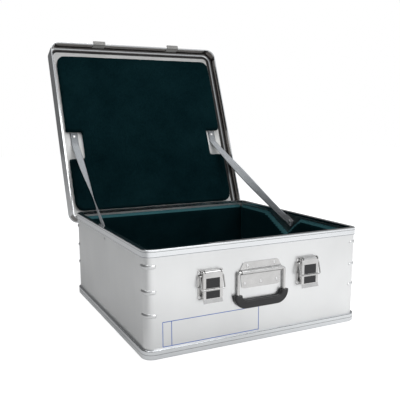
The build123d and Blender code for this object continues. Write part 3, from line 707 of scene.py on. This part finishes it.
# %% Sweep the seal
seal_low, seal_high = box_shut("lid_gasket")
seal_width = 0.0065
seal_height = seal_high.z - seal_low.z
seal_radius = 0.0195
corner_points, section_points = 12, 16
seal_sizes = {
    "Length X": seal_high.x - seal_low.x - seal_width, "Length Y": seal_high.y - seal_low.y - seal_width,
    "Corner": seal_radius, "Width": seal_width, "Height": seal_height}
tree, start, end = new_tree("seal sweep", seal_sizes)
route = tree.nodes.new("GeometryNodeCurvePrimitiveQuadrilateral")
corner = tree.nodes.new("GeometryNodeFilletCurve")
corner.mode = "POLY"
corner.inputs["Count"].default_value = corner_points
section = tree.nodes.new("GeometryNodeCurvePrimitiveCircle")
section.inputs["Resolution"].default_value = section_points
section.inputs["Radius"].default_value = 0.5
oval = tree.nodes.new("GeometryNodeTransform")
oval_size = tree.nodes.new("ShaderNodeCombineXYZ")
sweep = tree.nodes.new("GeometryNodeCurveToMesh")
smooth = tree.nodes.new("GeometryNodeSetShadeSmooth")
tree.links.new(start.outputs["Length X"], route.inputs["Width"])
tree.links.new(start.outputs["Length Y"], route.inputs["Height"])
tree.links.new(start.outputs["Corner"], corner.inputs["Radius"])
tree.links.new(start.outputs["Width"], oval_size.inputs["X"])
tree.links.new(start.outputs["Height"], oval_size.inputs["Y"])
tree.links.new(oval_size.outputs["Vector"], oval.inputs["Scale"])
tree.links.new(route.outputs["Curve"], corner.inputs["Curve"])
tree.links.new(section.outputs["Curve"], oval.inputs["Geometry"])
tree.links.new(corner.outputs["Curve"], sweep.inputs["Curve"])
tree.links.new(oval.outputs["Geometry"], sweep.inputs["Profile Curve"])
tree.links.new(sweep.outputs["Mesh"], smooth.inputs["Geometry"])
end_tree(tree, smooth.outputs["Geometry"], rubber, end)
seal = run_tree(tree, "lid_seal", seal_sizes)
seal.data.transform(open_lid @ Matrix.Translation((seal_low + seal_high) / 2))
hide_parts("lid_gasket")
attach(seal, "lid")
print("seal faces:", len(seal.data.polygons))

# %% [markdown]
# ## Straps
# Two grey polyester straps stop the lid. Each end is folded back on itself and riveted: flat on
# the side wall at the case, flat on the white sheet at the lid, so the strap turns a quarter on
# the way. The strap is made as it is cut, a flat ribbon, and then laid along its route. Its
# weave is drawn on the ribbon's own UV map in metres: two sine waves, one across and one along,
# and the second is shifted by half a wave from rib to rib.

# %% Webbing finish
strap_width = 0.025
warp_waves = 9.0
pick_length = 0.0016
full_turn = 2 * math.pi
webbing, tree, shader = start_material("grey_webbing", (0.4, 0.42, 0.44), 0.0, 0.7)
ribbon_uv = tree.nodes.new("ShaderNodeUVMap")
ribbon_uv.uv_map = "ribbon"
ribbon_axes = split_axes(tree, ribbon_uv.outputs["UV"])
across = math_node(tree, "MULTIPLY", ribbon_axes["X"], full_turn * warp_waves / strap_width)
along = math_node(tree, "MULTIPLY", ribbon_axes["Y"], full_turn / pick_length)
warp = math_node(tree, "SINE", across)
step_aside = math_node(tree, "MULTIPLY", math_node(tree, "SIGN", warp), math.pi / 2)
weft = math_node(tree, "SINE", math_node(tree, "ADD", along, step_aside))
rib = math_node(tree, "ABSOLUTE", warp)
weave = math_node(tree, "MULTIPLY", rib, remap(tree, weft, 0.35, 1.0, -1.0, 1.0))
# Painted shade: the weave is darker where it is low, in the hollows between the threads.
weave_hollow_shade, thread_light = (0.2, 0.215, 0.23), (0.5, 0.52, 0.545)
tree.links.new(between(tree, weave, weave_hollow_shade, thread_light, 0.1, 0.8), shader.inputs["Base Color"])
shader.inputs["Sheen Weight"].default_value = 0.15
raise_surface(tree, shader, weave, 0.0005)
print("ribs across the webbing:", round(2 * warp_waves))

# %% [markdown]
# The route could be drawn by hand, but it is worked out from the rivets that hold it, so it stays
# on them. First come the fixed points: the rivet on the wall, the lip of the rim that the strap
# passes, and the place on the lid where it bends.

# %% Fixed points of a strap
strap_sheet = 0.0016
layer = strap_sheet + 0.0002
tail = 0.0115
fold = 0.035
wall_sheet = 0.0015
rim_proud = 0.0025
rim_reach = 0.010
lie_gap = 0.0003
lip_gap = 0.0014
lip_reach = 0.040
bend_reach = 0.028


def middle_of(name):
    low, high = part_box(name)
    return (Vector(low) + Vector(high)) / 2


def strap_anchors(side):
    """Where a strap meets the wall and the lid, and the directions along, across and off it."""
    wall_x = side * (abs(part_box("case_shell")[0][0]) - rib_proud - wall_sheet)
    case_rivet = middle_of("strap_right_case_rivet")
    lid_rivet = shut_lid @ middle_of("strap_right_lid_rivet")
    board_z = box_shut("lid_inner_sheet")[0].z
    inboard = Vector((-side, 0.0, 0.0))
    wall_face = wall_x + inboard.x * (lie_gap + strap_sheet / 2)
    lid_turn = open_lid.to_3x3()
    lid_down = lid_turn @ Vector((0.0, 1.0, 0.0))
    lid_face = lid_turn @ Vector((0.0, 0.0, -1.0))
    anchor = Vector((wall_face, case_rivet.y, case_rivet.z))
    under_board = Vector((side * lid_rivet.x, lid_rivet.y, board_z - lie_gap - strap_sheet / 2))
    lid_anchor = open_lid @ under_board
    lid_bend = lid_anchor + lid_down * bend_reach + lid_face * layer
    run = Vector((0.0, lid_bend.y - anchor.y, lid_bend.z - anchor.z)).normalized()
    wall_wide = Vector((0.0, -run.z, run.y))
    lip = anchor + run * lip_reach
    lip.x = side * (abs(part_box("case_rim_frame")[0][0]) - rim_proud - rim_reach - lip_gap)
    return anchor, run, wall_wide, inboard, lip, lid_bend, lid_down, lid_face, lid_anchor


right_points = strap_anchors(1)
print("right strap from", tuple(round(part, 3) for part in right_points[0]),
      "to", tuple(round(part, 3) for part in right_points[-1]))

# %% [markdown]
# Then a list of stations gives the middle of the ribbon, the way its width points and the way it
# faces. It starts at the free tail under the case's fold, turns round the fold, sways inboard to
# clear the rim's lip, turns a quarter on the free run, and folds once more on the lid.

# %% Strap route
sway_start = 0.008
wall_steps, free_steps, lid_steps = 10, 64, 8
quarter_turn = math.pi / 2 * 0.98
sag_depth = 0.004
lid_start, lid_tail = 0.026, 0.030


def ease(share):
    return share * share * (3.0 - 2.0 * share)


def sway_at(reach, inboard, climb):
    """How far the strap has moved inboard at a distance from the rivet."""
    follow = max(0.0, (reach - sway_start) / (lip_reach - sway_start))
    return inboard * (ease(min(follow, 1.0)) * climb.dot(inboard))


def fold_over(centre, face, run, wide):
    """Three stations round the half turn at a strap's end."""
    stations = []
    for angle in (45, 90, 135):
        turn = math.radians(angle)
        turned = face * math.cos(turn) - run * math.sin(turn)
        stations.append((centre + turned * layer / 2, wide, turned))
    return stations


def free_run(first, last, wide_start, wide_end, face_start, face_end):
    """The span between the two ends, turned a quarter and sagging a little."""
    stations = []
    span = last - first
    direction = span.normalized()
    for step in range(1, free_steps + 1):
        share = step / free_steps
        turn = ease(share) * quarter_turn
        wide = wide_start * math.cos(turn) + wide_end * math.sin(turn)
        wide = (wide - direction * wide.dot(direction)).normalized()
        face = wide.cross(direction)
        outward = face_start * math.cos(turn) + face_end * math.sin(turn)
        face = face if face.dot(outward) > 0 else -face
        sag = Vector((0.0, 0.0, -sag_depth)) * math.sin(share * math.pi)
        stations.append((first + span * share + sag, wide, face))
    return stations


def strap_line(side):
    """All stations of one strap, from its tail on the case to its tail on the lid."""
    anchor, run, wall_wide, inboard, lip, lid_bend, lid_down, lid_face, lid_anchor = strap_anchors(side)
    lid_wide = Vector((side, 0.0, 0.0))
    leave = anchor + inboard * layer
    climb = lip - (leave + run * sway_start)
    stations = []
    for step in range(wall_steps + 1):
        reach = fold - (fold + tail) * step / wall_steps
        stations.append((anchor + run * reach + sway_at(reach, inboard, climb), wall_wide, -inboard))
    stations += fold_over(anchor - run * tail + inboard * layer / 2, -inboard, run, wall_wide)
    for step in range(wall_steps + 1):
        reach = -tail + (lip_reach + tail) * step / wall_steps
        stations.append((leave + run * reach + sway_at(reach, inboard, climb), wall_wide, inboard))
    stations += free_run(stations[-1][0], lid_bend, wall_wide, lid_wide, inboard, lid_face)
    for step in range(1, lid_steps + 1):
        reach = lid_start - (lid_start + tail) * step / lid_steps
        stations.append((lid_anchor + lid_down * reach + lid_face * layer, lid_wide, lid_face))
    stations += fold_over(lid_anchor - lid_down * tail + lid_face * layer / 2, lid_face, lid_down, lid_wide)
    for step in range(lid_steps + 1):
        reach = -tail + (lid_tail + tail) * step / lid_steps
        stations.append((lid_anchor + lid_down * reach, lid_wide, -lid_face))
    return stations


print("stations along a strap:", len(strap_line(1)))

# %% [markdown]
# The ribbon's cross-section is a flat band with rounded selvedges. One ring of points goes round it
# at each station, and faces join the rings. The UV map is in metres, so the weave keeps its size
# however the strap turns.


# %% Make the ribbon
section_columns = 8
edge_power = 8


def ribbon_section():
    """The band's outline as (place across, rise), each from -1 to 1."""
    upper = []
    for column in range(section_columns + 1):
        offset = -1.0 + 2.0 * column / section_columns
        upper.append((offset, math.sqrt(max(0.0, 1.0 - offset ** edge_power))))
    return upper + [(offset, -rise) for offset, rise in upper[-2:0:-1]]


def make_strap(side, name):
    """A woven ribbon along the route, and the length of its middle line."""
    stations = strap_line(side)
    outline = ribbon_section()
    count = len(outline)
    ribbon = bmesh.new()
    uv_layer = ribbon.loops.layers.uv.new("ribbon")
    rings = []
    length = 0.0
    lengths = []
    for number, (point, wide, face) in enumerate(stations):
        if number:
            length += (point - stations[number - 1][0]).length
        lengths.append(length)
        row = []
        for offset, rise in outline:
            spot = point + wide * offset * strap_width / 2 + face * rise * strap_sheet / 2
            row.append(ribbon.verts.new(spot))
        rings.append(row)
    for number in range(len(rings) - 1):
        for column in range(count):
            after = (column + 1) % count
            corners = ((column, number), (after, number), (after, number + 1), (column, number + 1))
            quad = ribbon.faces.new([rings[where][which] for which, where in corners])
            quad.smooth = True
            for loop, (which, where) in zip(quad.loops, corners):
                loop[uv_layer].uv = (outline[which][0] * strap_width / 2, lengths[where])
    for row in (rings[0], rings[-1]):
        ribbon.faces.new(row)
    bmesh.ops.recalc_face_normals(ribbon, faces=ribbon.faces)
    mesh = bpy.data.meshes.new(name)
    ribbon.to_mesh(mesh)
    ribbon.free()
    mesh.materials.append(webbing)
    strap = bpy.data.objects.new(name, mesh)
    bpy.context.scene.collection.objects.link(strap)
    return strap, length


print("points round the ribbon:", len(ribbon_section()))

# %% [markdown]
# A strap joins the case to the lid, so neither body alone can carry it, and it is left on neither.
# Its points lie on the case near the wall, on the lid near the board, and turn smoothly between the two.

# %% Weave the straps
for side, name in ((-1, "left"), (1, "right")):
    strap, strap_length = make_strap(side, f"lid_strap_{name}")
    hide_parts(f"strap_{name}")
    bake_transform(strap)
    print(name, "strap length", round(strap_length, 3))

# %% [markdown]
# ## Printed frame
# A blue frame is printed low on the front wall, with a narrow column at its left. It could be
# painted by the wall's material. Here it is five very thin bars, a shade thicker than ink, so that
# its edges stay sharp from any distance.

# %% Blue frame
ink, tree, shader = start_material("blue_ink", (0.05, 0.14, 0.5), 0.0, 0.5)
tree.links.new(between(tree, grain(tree, 150.0), (0.04, 0.12, 0.45), (0.075, 0.18, 0.56)),
               shader.inputs["Base Color"])
frame_left, frame_right = -0.260, -0.003
frame_low, frame_high = 0.0255, 0.086
column_width = 0.022
divider = frame_left + column_width
ink_line = 0.0016
ink_rise = 0.0002
liner_to_face = 0.0018
wall_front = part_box("liner_front")[0][1] - liner_to_face


def ink_bars(bars, name):
    """One thin box for each bar, given as its left, right, lower and upper edge."""
    print_mesh = bmesh.new()
    for x0, x1, z0, z1 in bars:
        middle = Matrix.Translation(((x0 + x1) / 2, wall_front - ink_rise / 2, (z0 + z1) / 2))
        size = Matrix.Diagonal((x1 - x0, ink_rise, z1 - z0, 1.0))
        bmesh.ops.create_cube(print_mesh, size=1.0, matrix=middle @ size)
    mesh = bpy.data.meshes.new(name)
    print_mesh.to_mesh(mesh)
    print_mesh.free()
    mesh.materials.append(ink)
    piece = bpy.data.objects.new(name, mesh)
    bpy.context.scene.collection.objects.link(piece)
    return piece


printed_frame = ink_bars([
    (frame_left, frame_right, frame_high - ink_line, frame_high),
    (frame_left, frame_right, frame_low, frame_low + ink_line),
    (frame_left, frame_left + ink_line, frame_low + ink_line, frame_high - ink_line),
    (frame_right - ink_line, frame_right, frame_low + ink_line, frame_high - ink_line),
    (divider, divider + ink_line, frame_low + ink_line, frame_high - ink_line),
], "printed_frame")
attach(printed_frame, "case")
print("bars in the printed frame:", len(printed_frame.data.polygons) // 6)

# %% [markdown]
# ## Studio
# The case stands on a pale floor in front of a white ground. The front wall mirrors a bright soft
# wall of light to its right, the left wall mirrors a dimmer one, and a large lamp from above gives
# the felt its lit edges.

# %% Light all round
light_from = (0.56, -0.8, 0.2)
dimmest, brightest = 0.16, 0.92
world = bpy.data.worlds.new("studio")
bpy.context.scene.world = world
world.use_nodes = True
tree = world.node_tree
tree.nodes.clear()
place = tree.nodes.new("ShaderNodeTexCoord")
toward = tree.nodes.new("ShaderNodeVectorMath")
toward.operation = "DOT_PRODUCT"
toward.inputs[1].default_value = light_from
soft_wall = tree.nodes.new("ShaderNodeBackground")
ground = tree.nodes.new("ShaderNodeBackground")
rays = tree.nodes.new("ShaderNodeLightPath")
pick = tree.nodes.new("ShaderNodeMixShader")
out = tree.nodes.new("ShaderNodeOutputWorld")
soft_wall.inputs["Color"].default_value = (0.97, 0.985, 1.0, 1.0)
ground.inputs["Color"].default_value = (1.0, 1.0, 1.0, 1.0)
tree.links.new(place.outputs["Generated"], toward.inputs[0])
level = remap(tree, toward.outputs["Value"], dimmest, brightest, -0.25, 0.92)
tree.links.new(level, soft_wall.inputs["Strength"])
tree.links.new(rays.outputs["Is Camera Ray"], pick.inputs["Fac"])
tree.links.new(soft_wall.outputs["Background"], pick.inputs[1])
tree.links.new(ground.outputs["Background"], pick.inputs[2])
tree.links.new(pick.outputs["Shader"], out.inputs["Surface"])
print("light comes from", light_from)

# %% [markdown]
# The floor is a matt plane that keeps the case's shadow. To the camera it glows a little, so that
# it fades into the white ground. The metal mirrors a glow of its own, which grows towards the
# light's side of the floor and gives the lower walls their bright sweep.

# %% Floor
floor_half = 8.0
floor_grey = 0.6
seen_glow = 0.75
floor_mesh = bpy.data.meshes.new("floor")
floor_mesh.from_pydata([(-floor_half, -floor_half, 0.0), (floor_half, -floor_half, 0.0),
                        (floor_half, floor_half, 0.0), (-floor_half, floor_half, 0.0)], [], [(0, 1, 2, 3)])
floor = bpy.data.objects.new("floor", floor_mesh)
bpy.context.scene.collection.objects.link(floor)
floor_paint = bpy.data.materials.new("pale_floor")
floor_paint.use_nodes = True
tree = floor_paint.node_tree
tree.nodes.clear()
matt = tree.nodes.new("ShaderNodeBsdfDiffuse")
matt.inputs["Color"].default_value = (floor_grey, floor_grey, floor_grey, 1.0)
glow = tree.nodes.new("ShaderNodeEmission")
rays = tree.nodes.new("ShaderNodeLightPath")
out = tree.nodes.new("ShaderNodeOutputMaterial")
total = tree.nodes.new("ShaderNodeAddShader")
floor_place = tree.nodes.new("ShaderNodeTexCoord")
floor_axes = split_axes(tree, floor_place.outputs["Object"])
rightward = math_node(tree, "MULTIPLY", floor_axes["X"], 0.6)
backward = math_node(tree, "MULTIPLY", floor_axes["Y"], 0.8)
toward_light = math_node(tree, "SUBTRACT", rightward, backward)
lit_side = remap(tree, toward_light, 0.0, 0.5, -0.1, 0.6)
mirrored = math_node(tree, "MULTIPLY", rays.outputs["Is Glossy Ray"], lit_side)
seen = math_node(tree, "MULTIPLY", rays.outputs["Is Camera Ray"], seen_glow)
tree.links.new(math_node(tree, "ADD", seen, mirrored), glow.inputs["Strength"])
tree.links.new(matt.outputs["BSDF"], total.inputs[0])
tree.links.new(glow.outputs["Emission"], total.inputs[1])
tree.links.new(total.outputs["Shader"], out.inputs["Surface"])
floor.data.materials.append(floor_paint)
print("floor side", 2 * floor_half)

# %% [markdown]
# Two large square lamps stand in for soft boxes. Large lamps give soft shadows and broad, even
# highlights on the sheet metal.


# %% Lamps
def soft_lamp(name, place, target, size, power):
    """A square lamp at a place, aimed at a target."""
    data = bpy.data.lights.new(name, "AREA")
    data.shape = "SQUARE"
    data.size = size
    data.energy = power
    lamp = bpy.data.objects.new(name, data)
    lamp.location = place
    lamp.rotation_euler = (Vector(target) - Vector(place)).to_track_quat("-Z", "Y").to_euler()
    bpy.context.scene.collection.objects.link(lamp)
    return lamp


key_lamp = soft_lamp("key_lamp", (0.7, -2.4, 2.2), (0.0, 0.0, 0.2), 1.6, 22.0)
top_lamp = soft_lamp("top_lamp", (-0.4, 0.2, 2.8), (0.0, 0.1, 0.2), 1.8, 40.0)
print("lamps:", key_lamp.name, top_lamp.name)
